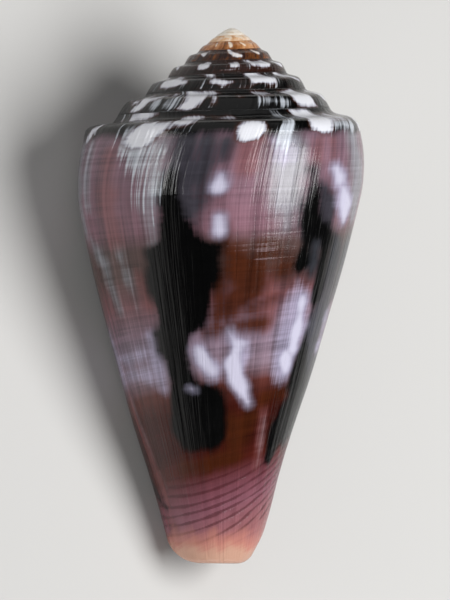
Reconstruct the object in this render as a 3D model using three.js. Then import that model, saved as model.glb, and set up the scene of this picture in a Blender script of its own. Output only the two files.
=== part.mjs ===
// A Gauguin cone shell lying on its aperture side, spire toward +Y.
// Millimetres, +Z up. One closed solid: the shell grew in one piece.
//
// The shell is one outline carried round a spiral. The outline keeps its shape
// and shrinks by the same factor with each turn back from the lip.
// Depth is measured down the shell's own axis from the tip of the spire.
import * as THREE from "three";

const TURN = 2 * Math.PI;
const DEGREE = Math.PI / 180;

// How the shell grows
const LENGTH = 70;
const TURNS = 10;
const GROWTH = 0.79;
const SUTURE_DEPTH = 11.8;
const SPIRE_TAPER = 1.08;
const TIP_ROUNDING = 0.95;
const TIP_REACH = 2.2;

// Side of the last whorl at the lip, as radius and depth from the shoulder down
const SIDE = [
  [19.35, 15.2], [19.75, 17], [20, 19], [20.05, 21], [19.9, 23.5], [19.2, 27],
  [17.4, 34.5], [15.3, 42], [12.5, 51.8], [9.9, 59.7], [8, 66.2], [6.35, 72.8],
  [5.2, 76], [2.6, 79.6], [0, 80.8],
];

// Ramp from one suture to the next, as shares of the step out and the step down
const LAST_RAMP = [[0, 0], [0.1, 0.2], [0.24, 0.31], [0.57, 0.35], [0.79, 0.41], [0.89, 0.5], [0.95, 0.64]];
const SPIRE_RAMP = [[0, 0], [0.08, 0.12], [0.33, 0.2], [0.6, 0.29], [0.72, 0.42], [0.85, 0.65], [0.95, 0.87]];
const SMALL_RAMP_ROWS = [0, 3];
const SMALL_FROM_TURN = 5;

// The lip stands back a little at the shoulder, and every growth line with it
const LIP_BACK_AT_SUTURE = 6;
const LIP_BACK_AT_RAMP = 9;
const LIP_BACK_REACH = 0.2;

// Siphonal end and the pillar that the whorls turn round
const PILLAR_RADIUS = 2.2;
const PILLAR_BLEND = 0.8;
const PILLAR_SHORT = 1.5;
const LIP_CORNER_HEIGHT = 3;
const LIP_CORNER_SPAN = 60;
const LIP_CORNER_POWER = 2;

// Aperture
const APERTURE_DEPTH_TURNS = 40 / 360;
const LIP_THICKNESS = 0.9;
const WALL_THICKNESS = 2.2;
const WALL_FULL_AFTER = 25 / 360;
const ROOF_ROW = 1;
const ROOF_RAMP_ROW = 3;

// Number of columns round the shell and of rows down its side
const COLUMNS = 64;
const SIDE_ROWS = 19;

// Where the belly lies on the floor it is rubbed flat by a fifth of a millimetre
const FLAT_CENTRE = 306.56;
const FLAT_HALF_WIDTH = 8.44;
const FLAT_HOLLOW = 0.003;
const FLAT_FROM_DEPTH = 15;
const FLAT_FULL_AT_DEPTH = 19;

// How it lies: turned about its own axis, then tilted onto its side
const ROLL = 140;
const TILT = 12.6;

const RAMP_ROWS = LAST_RAMP.length;
const APERTURE_COLUMNS = Math.round(COLUMNS * APERTURE_DEPTH_TURNS);
const START = GROWTH ** TURNS;

const sizeAt = (turn) => (GROWTH ** turn - START) / (1 - START);

function smoothStep(from, to, x) {
  const t = Math.min(1, Math.max(0, (x - from) / (to - from)));
  return t * t * (3 - 2 * t);
}

// Radius of the last whorl's side at a depth, as a smooth curve through SIDE.
function sideRadius(depth) {
  const last = SIDE.length - 1;
  if (depth >= SIDE[last][1]) return 0;
  let i = 0;
  while (i < last - 1 && depth > SIDE[i + 1][1]) i += 1;
  const slope = (k) => {
    const a = SIDE[Math.max(0, k - 1)];
    const b = SIDE[Math.min(last, k + 1)];
    return (b[0] - a[0]) / (b[1] - a[1]);
  };
  const [r0, z0] = SIDE[i];
  const [r1, z1] = SIDE[i + 1];
  const h = z1 - z0;
  const t = (depth - z0) / h;
  const ease = t * t * (3 - 2 * t);
  return r0 + (r1 - r0) * ease + h * t * (1 - t) * ((1 - t) * slope(i) - t * slope(i + 1));
}

// The same side further back in growth, never thinner than the pillar.
function bodyRadius(turn, depth) {
  const size = sizeAt(turn);
  const side = size * sideRadius(depth / size);
  const mix = Math.min(1, Math.max(0, 0.5 + (0.5 * (side - PILLAR_RADIUS)) / PILLAR_BLEND));
  return PILLAR_RADIUS * (1 - mix) + side * mix + PILLAR_BLEND * mix * (1 - mix);
}

// The suture: the line along which a whorl meets the one before it.
function suture(turn) {
  const depth = SUTURE_DEPTH * sizeAt(turn);
  if (turn < 0) return [bodyRadius(turn + 1, depth), depth];
  return [bodyRadius(1, SUTURE_DEPTH) * sizeAt(turn) ** SPIRE_TAPER, depth];
}

// Share of the radius that is left where the belly is flat.
function restFlat(turn, depth) {
  const off = Math.abs(turn * 360 - FLAT_CENTRE);
  if (off > FLAT_HALF_WIDTH + 0.1) return 1;
  const hollow = off < FLAT_HALF_WIDTH - 0.5 ? FLAT_HOLLOW : 0;
  const chord = Math.cos(FLAT_HALF_WIDTH * DEGREE) / Math.cos(off * DEGREE) - hollow;
  return 1 + (chord - 1) * smoothStep(FLAT_FROM_DEPTH, FLAT_FULL_AT_DEPTH, depth);
}

// The shell's end: a rounded corner at the lip, and a pillar a little shorter.
function endDepth(turn) {
  const corner = Math.max(0, 1 - (turn * 360) / LIP_CORNER_SPAN) ** LIP_CORNER_POWER;
  return LENGTH - LIP_CORNER_HEIGHT * corner - PILLAR_SHORT * smoothStep(0.33, 0.6, turn);
}

// Growth-line setback of a row, in turns.
function rampSetback(row) {
  const bow = Math.sin((Math.PI * row) / RAMP_ROWS);
  return (LIP_BACK_AT_SUTURE + (LIP_BACK_AT_RAMP - LIP_BACK_AT_SUTURE) * bow) / 360;
}

function sideSetback(share) {
  return (LIP_BACK_AT_SUTURE * Math.max(0, 1 - share / LIP_BACK_REACH) ** 2) / 360;
}

// Point of the ramp in the outline plane: radius, depth and setback.
function rampPoint(turn, row) {
  const upper = suture(turn);
  const lower = suture(turn - 1);
  const blend = smoothStep(0, 1, turn);
  const out = LAST_RAMP[row][0] * (1 - blend) + SPIRE_RAMP[row][0] * blend;
  const down = LAST_RAMP[row][1] * (1 - blend) + SPIRE_RAMP[row][1] * blend;
  const radius = upper[0] + (lower[0] - upper[0]) * out;
  const depth = upper[1] + (lower[1] - upper[1]) * down;
  return [radius, depth, rampSetback(row)];
}

// Point of the side, from row 0 at the next suture's height to the end.
function sidePoint(turn, row) {
  const share = row / SIDE_ROWS;
  const top = suture(turn - 1)[1];
  const depth = top + (endDepth(turn) - top) * share;
  return [bodyRadius(turn, depth) * restFlat(turn, depth), depth, sideSetback(share)];
}

// Outline point by one running row number, ramp first and side after it.
function outlinePoint(turn, row) {
  return row < RAMP_ROWS ? rampPoint(turn, row) : sidePoint(turn, row - RAMP_ROWS);
}

// Inner face of the outer wall: the outline moved inward by the wall's thickness.
function wallPoint(turn, row) {
  const lastRow = RAMP_ROWS + SIDE_ROWS;
  const [radius, depth, setback] = outlinePoint(turn, row);
  const above = outlinePoint(turn, row - 1);
  const below = outlinePoint(turn, Math.min(lastRow, row + 1));
  const across = below[0] - above[0];
  const down = below[1] - above[1];
  const length = Math.hypot(across, down);
  const grown = smoothStep(0, WALL_FULL_AFTER, turn);
  const wall = LIP_THICKNESS + (WALL_THICKNESS - LIP_THICKNESS) * grown;
  const innerRadius = radius - (wall * down) / length;
  const innerDepth = depth + (wall * across) / length;
  return [innerRadius, row === lastRow ? depth : innerDepth, setback];
}

function tipDepth(depth) {
  return depth - TIP_ROUNDING * depth * Math.exp(-depth / TIP_REACH);
}

// The vertices are kept in one list, and a chain is a list of their numbers.
const positions = [];
const triangles = [];

function addVertex(turn, [radius, depth, setback]) {
  const angle = (turn + setback) * TURN;
  positions.push(radius * Math.cos(angle), radius * Math.sin(angle), -tipDepth(depth));
  return positions.length / 3 - 1;
}

function addTriangle(a, b, c) {
  if (a !== b && b !== c && c !== a) triangles.push(a, b, c);
}

// Joins two chains of equal length with two triangles per step.
function joinChains(left, right) {
  for (let k = 0; k + 1 < left.length; k += 1) {
    addTriangle(left[k], left[k + 1], right[k + 1]);
    addTriangle(left[k], right[k + 1], right[k]);
  }
}

// Repeats the entries of a chain so that it gets the length of another.
function stretched(chain, length) {
  const stretch = (chain.length - 1) / (length - 1);
  return Array.from({ length }, (_, k) => chain[Math.round(k * stretch)]);
}

const rampRowsOf = (whorl) => (whorl < SMALL_FROM_TURN ? LAST_RAMP.map((_, row) => row) : SMALL_RAMP_ROWS);

// Ramp vertices of every whorl in one column, whorl 0 being the last one.
function rampColumn(column) {
  const whorls = [];
  for (let whorl = 0; whorl < TURNS; whorl += 1) {
    const turn = whorl + column / COLUMNS;
    whorls.push(rampRowsOf(whorl).map((row) => addVertex(turn, rampPoint(turn, row))));
  }
  return whorls;
}

function sideColumn(turn, firstRow) {
  const chain = [];
  for (let row = firstRow; row <= SIDE_ROWS; row += 1) chain.push(addVertex(turn, sidePoint(turn, row)));
  return chain;
}

// Inner face from the roof of the aperture down to the end.
function wallColumn(turn) {
  const chain = [];
  for (let row = ROOF_RAMP_ROW; row <= RAMP_ROWS + SIDE_ROWS; row += 1) {
    chain.push(addVertex(turn, wallPoint(turn, row)));
  }
  return chain;
}

function buildShell() {
  positions.push(0, 0, 0);
  const tip = 0;
  positions.push(0, 0, -(LENGTH - PILLAR_SHORT));
  const base = 1;

  const ramps = Array.from({ length: COLUMNS }, (_, column) => rampColumn(column));
  const sides = Array.from({ length: COLUMNS }, (_, column) => sideColumn(column / COLUMNS, 0));
  const spireChain = (whorls) => [...whorls].reverse().flat();
  const outerChain = (column) => [tip, ...spireChain(ramps[column]), ...sides[column]];

  // The side goes on under the last whorl, where it is the inner face of the aperture.
  const firstInner = [ramps[0][0][0], ...sideColumn(1, 1)];
  const inners = [firstInner.slice(ROOF_ROW)];
  const walls = [wallColumn(0)];
  for (let column = 1; column <= APERTURE_COLUMNS; column += 1) {
    inners.push(sideColumn(1 + column / COLUMNS, ROOF_ROW));
    walls.push(wallColumn(column / COLUMNS));
  }
  const openChain = (column) => [
    ...outerChain(column), ...[...walls[column]].reverse(), ...inners[column], base,
  ];
  const closedChain = (column) => [...outerChain(column), base];

  for (let column = 0; column < APERTURE_COLUMNS; column += 1) {
    joinChains(openChain(column), openChain(column + 1));
  }

  // Beyond the aperture the whorl is closed down to the base.
  const end = APERTURE_COLUMNS;
  const innerEnd = inners[end].at(-1);
  joinChains([...outerChain(end), innerEnd, base], [...outerChain(end + 1), base, base]);
  for (let column = end + 1; column < COLUMNS - 1; column += 1) {
    joinChains(closedChain(column), closedChain(column + 1));
  }

  // The last column meets the first one a whorl further in.
  const shifted = ramps[0].map((whorl, n) => {
    const length = ramps[COLUMNS - 1][n].length;
    return n + 1 < TURNS ? stretched(ramps[0][n + 1], length) : Array(length).fill(tip);
  });
  joinChains(closedChain(COLUMNS - 1), [tip, ...spireChain(shifted), ...firstInner, base]);

  // Edge of the lip, from the suture to the end.
  const lip = [...ramps[0][0], ...sides[0]];
  const lipInner = [...firstInner.slice(0, ROOF_ROW + 1), ...walls[0]];
  const doubled = Array(lip.length - lipInner.length).fill(lipInner[0]);
  joinChains([...doubled, ...lipInner], lip);

  // Back wall of the aperture.
  const wallUp = [sides[end].at(-1), ...[...walls[end]].reverse(), inners[end][0]];
  const innerUp = [...inners[end]].reverse();
  joinChains(wallUp, stretched(innerUp, wallUp.length));
}

buildShell();
const geometry = new THREE.BufferGeometry();
geometry.setAttribute("position", new THREE.Float32BufferAttribute(positions, 3));
geometry.setIndex(triangles);

// Lay it down and put the origin under the middle of its bounding box.
geometry.rotateZ(ROLL * DEGREE);
geometry.rotateX(-90 * DEGREE);
geometry.rotateX(TILT * DEGREE);
geometry.computeBoundingBox();
const box = geometry.boundingBox;
geometry.translate(-(box.min.x + box.max.x) / 2, -(box.min.y + box.max.y) / 2, -box.min.z);
geometry.computeVertexNormals();

const porcelain = new THREE.MeshStandardMaterial({ color: "#6b5560", roughness: 0.25, metalness: 0 });
const shell = new THREE.Mesh(geometry, porcelain);
shell.name = "shell";

const group = new THREE.Group();
group.name = "gauguin_cone_shell";
group.add(shell);
export default group;
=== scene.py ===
# %% [markdown]
# A cone shell, wound up from its own growth rule.
# A cone shell is one strip of porcelain-like shell, coiled round an axis. The animal
# adds to the lip only, so every older turn is a smaller copy of the newest one. The
# script keeps to that: it draws the strip flat, as a chart, and Geometry Nodes wind it.
# The markings are drawn on the flat chart too, where a turn is easy to measure.

import math

import bpy
import numpy as np
from mathutils import Matrix, Vector


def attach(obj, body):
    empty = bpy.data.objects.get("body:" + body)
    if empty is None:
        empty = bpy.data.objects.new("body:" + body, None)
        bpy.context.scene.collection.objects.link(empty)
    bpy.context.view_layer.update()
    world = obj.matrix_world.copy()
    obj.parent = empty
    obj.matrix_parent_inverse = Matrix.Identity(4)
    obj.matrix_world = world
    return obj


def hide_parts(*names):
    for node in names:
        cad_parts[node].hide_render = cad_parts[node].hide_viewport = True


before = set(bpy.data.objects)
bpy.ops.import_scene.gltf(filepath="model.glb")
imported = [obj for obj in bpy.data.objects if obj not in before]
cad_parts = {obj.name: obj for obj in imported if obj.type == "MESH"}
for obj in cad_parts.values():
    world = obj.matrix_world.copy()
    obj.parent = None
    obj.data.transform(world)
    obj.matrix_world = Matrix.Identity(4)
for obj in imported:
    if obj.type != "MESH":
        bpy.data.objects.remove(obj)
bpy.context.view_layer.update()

# %% [markdown]
# One function for every node.
# Both kinds of node tree are made in the same way: make a node, set it, and fill its
# inputs with a value or with what another node gives. So one short function does it all.

# %% Node helper
MATH = "ShaderNodeMath"


def add(tree, kind, inputs=None, **settings):
    """Adds a node with its settings. Its inputs are a list, or a dict by name or number."""
    node = tree.nodes.new(kind)
    for name, value in settings.items():
        setattr(node, name, value)
    inputs = inputs or {}
    for key, value in inputs.items() if isinstance(inputs, dict) else enumerate(inputs):
        if isinstance(value, bpy.types.Node):
            value = value.outputs[0]
        if isinstance(value, bpy.types.NodeSocket):
            tree.links.new(value, node.inputs[key])
        else:
            node.inputs[key].default_value = value
    return node


# %% [markdown]
# How the shell grows.
# Each turn back from the lip is 0.79 times as large as the one after it, which is what
# the sutures on the spire measure. Depth is measured down the axis from the tip, and
# size is 1 at the lip. The side's profile is read off the outline in the photo, in
# millimetres of a shell 70 mm long. A smooth curve runs through the few points.

# %% Growth rule
LENGTH = 70.0
TURNS = 10
GROWTH = 0.79
SUTURE_DEPTH = 11.8
SPIRE_TAPER = 1.08
PILLAR_RADIUS = 2.2
PILLAR_BLEND = 0.8
PILLAR_SHORT = 1.5
SMALLEST = GROWTH**TURNS
SIDE_RADIUS = [19.35, 19.75, 20, 20.05, 19.9, 19.2, 17.4, 15.3, 12.5, 9.9, 8, 6.35, 5.2, 2.6, 0]
SIDE_DEPTH = [15.2, 17, 19, 21, 23.5, 27, 34.5, 42, 51.8, 59.7, 66.2, 72.8, 76, 79.6, 80.8]


def size_at(turn):
    return (GROWTH**turn - SMALLEST) / (1 - SMALLEST)


def smooth_step(start, end, x):
    t = np.clip((x - start) / (end - start), 0, 1)
    return t * t * (3 - 2 * t)


def side_radius(depth):
    """Radius of the newest turn's side at a depth, as a smooth curve."""
    r, z = np.array(SIDE_RADIUS), np.array(SIDE_DEPTH)
    slope = np.concatenate(
        [[(r[1] - r[0]) / (z[1] - z[0])], (r[2:] - r[:-2]) / (z[2:] - z[:-2]),
         [(r[-1] - r[-2]) / (z[-1] - z[-2])]]
    )
    i = np.clip(np.searchsorted(z, depth) - 1, 0, len(z) - 2)
    h = z[i + 1] - z[i]
    t = (depth - z[i]) / h
    ease = t * t * (3 - 2 * t)
    bend = h * t * (1 - t) * ((1 - t) * slope[i] - t * slope[i + 1])
    return np.where(depth >= z[-1], 0, r[i] + (r[i + 1] - r[i]) * ease + bend)


def body_radius(turn, depth):
    """The same side on an older turn, never thinner than the pillar inside."""
    size = size_at(turn)
    side = size * side_radius(depth / size)
    mix = np.clip(0.5 + 0.5 * (side - PILLAR_RADIUS) / PILLAR_BLEND, 0, 1)
    return PILLAR_RADIUS * (1 - mix) + side * mix + PILLAR_BLEND * mix * (1 - mix)


def suture(turn):
    """Radius and depth of the line where a turn meets the one before it."""
    depth = SUTURE_DEPTH * size_at(turn)
    shoulder = body_radius(np.maximum(turn, -1) + 1, np.maximum(depth, SUTURE_DEPTH))
    spire = body_radius(1, SUTURE_DEPTH) * size_at(np.maximum(turn, 0)) ** SPIRE_TAPER
    return np.where(turn < 0, shoulder, spire), depth


print("turns", TURNS, "size one turn back", round(float(size_at(1)), 3))

# %% [markdown]
# The outline of one turn.
# From the suture the outline runs out along a grooved ramp, over the shoulder and down
# the side to the blunt lower end. The ramp of the newest turn is a little hollow, and
# the ramps of the old turns stand up as steps, so the profile changes with the turn.
# Growth lines lean back near the suture, as the lip does: setback holds that, in turns.

# %% Outline points
RAMP_OUT_NEW = [0, 0.1, 0.24, 0.57, 0.79, 0.89, 0.95, 1]
RAMP_DOWN_NEW = [0, 0.2, 0.31, 0.35, 0.41, 0.5, 0.64, 1]
RAMP_OUT_OLD = [0, 0.08, 0.33, 0.6, 0.72, 0.85, 0.95, 1]
RAMP_DOWN_OLD = [0, 0.12, 0.2, 0.29, 0.42, 0.65, 0.87, 1]
LIP_BACK_AT_SUTURE = 6
LIP_BACK_AT_RAMP = 9
LIP_BACK_REACH = 0.2
LIP_CORNER_HEIGHT = 3
LIP_CORNER_SPAN = 60
LIP_CORNER_POWER = 2
END_ROUNDING = 0.55


def through(values, share):
    """A smooth curve through evenly spaced values, read at a share of its length."""
    last = len(values) - 1
    at = share * last
    i = np.clip(np.floor(at), 0, last - 1).astype(int)
    t = at - i
    a, b, c, d = (np.array(values)[np.clip(i + k, 0, last)] for k in (-1, 0, 1, 2))
    return b + 0.5 * t * (c - a + t * (2 * a - 5 * b + 4 * c - d + t * (3 * (b - c) + d - a)))


def ramp_point(turn, share):
    """Radius, depth and setback on the ramp, from suture to suture."""
    r0, z0 = suture(turn)
    r1, z1 = suture(turn - 1)
    old = smooth_step(0, 1, turn)
    out = through(RAMP_OUT_NEW, share) * (1 - old) + through(RAMP_OUT_OLD, share) * old
    down = through(RAMP_DOWN_NEW, share) * (1 - old) + through(RAMP_DOWN_OLD, share) * old
    rubbed = 0.75 * smooth_step(3.5, 6, turn)
    out, down = out + (share - out) * rubbed, down + (share - down) * rubbed
    bow = np.sin(math.pi * share)
    setback = (LIP_BACK_AT_SUTURE + (LIP_BACK_AT_RAMP - LIP_BACK_AT_SUTURE) * bow) / 360
    return r0 + (r1 - r0) * out, z0 + (z1 - z0) * down, setback


def end_depth(turn):
    """The lower end: a rounded corner at the lip and a slightly shorter pillar."""
    corner = np.maximum(0, 1 - turn * 360 / LIP_CORNER_SPAN) ** LIP_CORNER_POWER
    return LENGTH - LIP_CORNER_HEIGHT * corner - PILLAR_SHORT * smooth_step(0.33, 0.6, turn)


def side_point(turn, share, rounding=0.0):
    """Radius, depth and setback on the side, from the next suture's height to the end."""
    top = suture(turn - 1)[1]
    end = end_depth(turn)
    depth = top + (end - top) * share
    edge = np.clip(1 - (end - depth) / max(rounding, 0.01), 0, 1) if rounding else 0
    setback = LIP_BACK_AT_SUTURE * np.maximum(0, 1 - share / LIP_BACK_REACH) ** 2 / 360
    return body_radius(turn, depth) - rounding * (1 - np.sqrt(1 - edge**2)), depth, setback


# %% [markdown]
# The flat chart.
# The strip could be modelled turn by turn, but a chart is simpler: one row of points
# for each line that runs along the spiral, one column for each step round the axis.
# Every point keeps its turn, and its radius and depth as shares of the size there.
# The aperture is a slot between the outer wall and the turn underneath it.

# %% Chart points
COLUMNS = 256
RAMP_ROWS = 12
ROOF_RAMP_ROW = 5
ROOF_SHARE = 0.05
APERTURE_DEGREES = 40
LIP_THICKNESS = 0.9
WALL_THICKNESS = 2.2
WALL_FULL_AFTER = 25 / 360
CORDS_FROM_SHARE, END_CORNER_SHARE = 0.64, 0.988
SIDE_SHARES = np.concatenate([
    np.linspace(0, CORDS_FROM_SHARE, 64, endpoint=False),
    np.linspace(CORDS_FROM_SHARE, END_CORNER_SHARE, 130, endpoint=False),
    np.linspace(END_CORNER_SHARE, 1, 9),
])
chart = {"turn": [], "radius": [], "depth": [], "setback": [], "outside": []}


def add_points(turn, point, outside=1.0):
    """Puts points on the chart and returns their numbers in the shape of turn."""
    turn = np.asarray(turn, float)
    first = sum(len(part) for part in chart["turn"])
    values = dict(zip(("radius", "depth", "setback"), point), turn=turn, outside=outside)
    for name, value in values.items():
        chart[name].append(np.broadcast_to(value, turn.shape).ravel().astype(float))
    return first + np.arange(turn.size).reshape(turn.shape)


tip = int(add_points([float(TURNS)], (0, 0, 0))[0])
base = int(add_points([0.5], (0, LENGTH - PILLAR_SHORT, 0))[0])
around = np.arange(COLUMNS) / COLUMNS
ramp_turns = np.arange(TURNS)[:, None, None] + around[None, None, :] + np.zeros((1, RAMP_ROWS, 1))
ramp_shares = np.arange(RAMP_ROWS)[None, :, None] / RAMP_ROWS
ramps = add_points(ramp_turns, ramp_point(ramp_turns, ramp_shares))
side_turns = around[None, :] + np.zeros((len(SIDE_SHARES), 1))
sides = add_points(side_turns, side_point(side_turns, SIDE_SHARES[:, None], END_ROUNDING))

open_columns = round(COLUMNS * APERTURE_DEGREES / 360)
roof_row = int(np.searchsorted(SIDE_SHARES, ROOF_SHARE))
under_turns = 1 + np.arange(open_columns + 1)[None, :] / COLUMNS + np.zeros((len(SIDE_SHARES), 1))
fades_in = smooth_step(1.06, 1.0, under_turns)
unders = add_points(under_turns, side_point(under_turns, SIDE_SHARES[:, None]), fades_in)
unders[0, 0] = ramps[0, 0, 0]
print("chart points", sum(len(part) for part in chart["turn"]), "open columns", open_columns)

# %% [markdown]
# The inner face of the outer wall.
# The wall's inner face is the outline moved inward at right angles to itself. The lip is
# thin at its edge and thickens within 25 degrees, as on a grown shell.

# %% Wall points
wall_turns = np.arange(open_columns + 1)[None, :] / COLUMNS
wall_ramp = ramp_point(wall_turns, np.arange(ROOF_RAMP_ROW, RAMP_ROWS)[:, None] / RAMP_ROWS)
wall_side = side_point(wall_turns, SIDE_SHARES[:, None])
shape = (RAMP_ROWS - ROOF_RAMP_ROW + len(SIDE_SHARES), open_columns + 1)
radius, depth, setback = (
    np.concatenate([np.broadcast_to(a, (RAMP_ROWS - ROOF_RAMP_ROW, shape[1])),
                    np.broadcast_to(b, (len(SIDE_SHARES), shape[1]))])
    for a, b in zip(wall_ramp, wall_side)
)
across, down = np.gradient(radius, axis=0), np.gradient(depth, axis=0)
grown = smooth_step(0, WALL_FULL_AFTER, wall_turns)
wall = (LIP_THICKNESS + (WALL_THICKNESS - LIP_THICKNESS) * grown) / np.hypot(across, down)
inner_depth = depth + wall * across
inner_depth[-1] = depth[-1]
every_third = np.unique(np.append(np.arange(0, shape[0], 3), shape[0] - 1))
wall_points = (radius - wall * down, inner_depth, setback)
walls = add_points(
    (wall_turns + 0 * radius)[every_third], [p[every_third] for p in wall_points], 0.0
)
print("wall rows", len(every_third))

# %% [markdown]
# Joining the points.
# A chain is a list of points from the tip to the lower end. Two neighbouring chains are
# bridged with four-sided faces. The last column meets the first one a turn further in,
# and that is all that makes it a spiral.

# %% Chart faces
faces = []


def bridge(left, right):
    """Faces between two chains. The shorter chain repeats some of its points."""
    count = max(len(left), len(right))
    pick = [np.round(np.linspace(0, len(c) - 1, count)).astype(int) for c in (left, right)]
    a, b = np.array(left)[pick[0]], np.array(right)[pick[1]]
    for k in range(count - 1):
        corners = list(dict.fromkeys([int(a[k]), int(a[k + 1]), int(b[k + 1]), int(b[k])]))
        if len(corners) > 2:
            faces.append(corners)


def outer_chain(column):
    return [tip, *ramps[::-1, :, column].ravel(), *sides[:, column]]


def open_chain(column):
    return [*outer_chain(column), *walls[::-1, column], *unders[roof_row:, column], base]


for column in range(open_columns):
    bridge(open_chain(column), open_chain(column + 1))
end = open_columns
bridge([*outer_chain(end), unders[-1, end], base], [*outer_chain(end + 1), base, base])
for column in range(end + 1, COLUMNS - 1):
    bridge([*outer_chain(column), base], [*outer_chain(column + 1), base])
one_turn_in = [tip] * (RAMP_ROWS + 1) + [*ramps[:0:-1, :, 0].ravel()]
bridge([*outer_chain(COLUMNS - 1), base], [*one_turn_in, *unders[:, 0], base])

lip = [*ramps[0, :, 0], *sides[:, 0]]
bridge([*unders[: roof_row + 1, 0], walls[0, 0]], lip[: ROOF_RAMP_ROW + 1])
bridge(walls[:, 0], lip[ROOF_RAMP_ROW:])
bridge([sides[-1, end], *walls[::-1, end], unders[roof_row, end]], unders[:roof_row - 1:-1, end])
chart = {name: np.concatenate(parts) for name, parts in chart.items()}
print("chart faces", len(faces))

# %% [markdown]
# Drawing the markings.
# On the real shell the colour lies in the outer layer, so nothing is raised. Each marking
# is drawn on the chart, in degrees back from the lip and millimetres down the newest
# turn. A closed outline is a list of points, and a stroke also has a half-width. Every
# chart point stores how deep it lies inside the markings of a layer, in millimetres, so
# the material can draw the edge as sharp or as frayed as it likes.

# %% Marking helpers
MM_PER_DEGREE = 0.26
size_here = np.maximum(size_at(chart["turn"]), 1e-6)
degrees = chart["turn"] * 360
height = chart["depth"] / size_here
flat = np.stack([degrees * MM_PER_DEGREE, height], axis=1)


def to_segment(a, b):
    """Distance of every chart point to a line from a to b, and how far along it is."""
    a, b = np.array(a), np.array(b)
    line = b - a
    along = np.clip((flat - a) @ line / max(line @ line, 1e-9), 0, 1)
    return np.linalg.norm(flat - a - along[:, None] * line, axis=1), along


def inside_outline(points):
    """Depth inside a closed outline, negative outside it."""
    corners = [(d * MM_PER_DEGREE, z) for d, z in points]
    nearest = np.full(len(flat), 1e9)
    inside = np.zeros(len(flat), bool)
    for a, b in zip(corners, corners[1:] + corners[:1]):
        nearest = np.minimum(nearest, to_segment(a, b)[0])
        spans = (a[1] > flat[:, 1]) != (b[1] > flat[:, 1])
        rise = (b[1] - a[1]) or 1e-9
        crossing = a[0] + (flat[:, 1] - a[1]) * (b[0] - a[0]) / rise
        inside ^= spans & (flat[:, 0] < crossing)
    return np.where(inside, nearest, -nearest)


def inside_stroke(points):
    """Depth inside a stroke whose half-width changes from point to point."""
    depth_in = np.full(len(flat), -1e9)
    ends = points[1:] or points
    for (d0, z0, w0), (d1, z1, w1) in zip(points, ends):
        gap, along = to_segment((d0 * MM_PER_DEGREE, z0), (d1 * MM_PER_DEGREE, z1))
        depth_in = np.maximum(depth_in, w0 + (w1 - w0) * along - gap)
    return depth_in


def drawn(markings):
    """One layer: the depth inside whichever of its markings is deepest."""
    layer = np.full(len(flat), -9.0)
    for points in markings:
        shape_of = inside_outline if len(points[0]) == 2 else inside_stroke
        layer = np.maximum(layer, shape_of(points))
    return layer


# %% [markdown]
# The dark layer.
# The large blotch down the middle narrows where the white flames bite into it. A second
# blotch stands at its right, and more lie round the unseen side, in the same manner.

# %% Black blotches
MIDDLE_BLOTCH = [
    (72, 19), (68.5, 22), (67, 26), (66, 29.6), (59, 30.4), (57, 33), (57, 36), (61, 38.4),
    (62, 40), (57, 41.8), (57, 44.2), (61, 46), (62, 49.4), (58, 51.6), (58, 55), (64, 57.4),
    (72, 58.7), (88, 58.9), (96, 57.6), (98.5, 54), (97, 51.2), (89, 49.8), (82, 49.3),
    (76, 47), (75.5, 44.4), (79, 42.6), (86.5, 41.4), (91, 38.6), (94, 35), (96.5, 31.8),
    (96, 30.2), (87, 29.6), (85, 27.4), (79, 25.6), (76, 22),
]
RIGHT_BLOTCH = [
    (131, 20), (131, 28), (130.5, 34.6), (134, 36.4), (138, 34.4), (140, 30.4), (144, 30.6),
    (146, 35), (146.5, 39.4), (149, 42), (153, 40), (153, 31), (148, 28.4), (142, 28.2),
    (140, 25), (137, 20.6),
]
LOW_RIGHT_BLOTCH = [
    (144, 46.6), (141, 49), (141, 52), (147, 53.4), (138, 54.6), (132.5, 57.4), (132.5, 60),
    (134, 62.4), (142, 62.8), (152, 61.2), (164, 60.2), (178, 61), (184, 57), (172, 51.6),
    (160, 50), (153, 47), (148, 44),
]
BACK_BLOTCHES = [
    [(204, 16), (200, 27), (206, 36), (199, 44), (214, 47), (222, 40), (219, 30), (214, 16)],
    [(212, 51, 1.0), (214, 55, 2.2), (222, 58.6, 1.2)],
    [(258, 18), (252, 28), (262, 33), (255, 40), (259, 47), (273, 46), (279, 36), (272, 19)],
    [(273, 52, 1.5), (270, 56.6, 2.6), (277, 60, 1.0)],
    [(312, 17), (309, 27), (318, 30), (314, 39), (326, 42), (331, 32), (325, 18)],
    [(325, 48.6, 1.2), (322, 54, 2.4), (331, 58.6, 1.0)],
]
LOW_STREAKS = [
    [(4, 59.4, 0.6), (14, 61.2, 0.7), (24, 63.4, 0.45), (31, 64.4, 0.2)],
    [(2, 30, 1.0), (6, 38, 0.6)],
    [(356, 40, 0.8), (362, 50, 1.3)],
]
black = drawn([MIDDLE_BLOTCH, RIGHT_BLOTCH, LOW_RIGHT_BLOTCH, *BACK_BLOTCHES, *LOW_STREAKS])
print("chart points in black", int((black > 0).sum()))

# %% [markdown]
# The white layer.
# Small drops and flames of opaque white sit at the edges of the dark, with soft rims.

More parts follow.
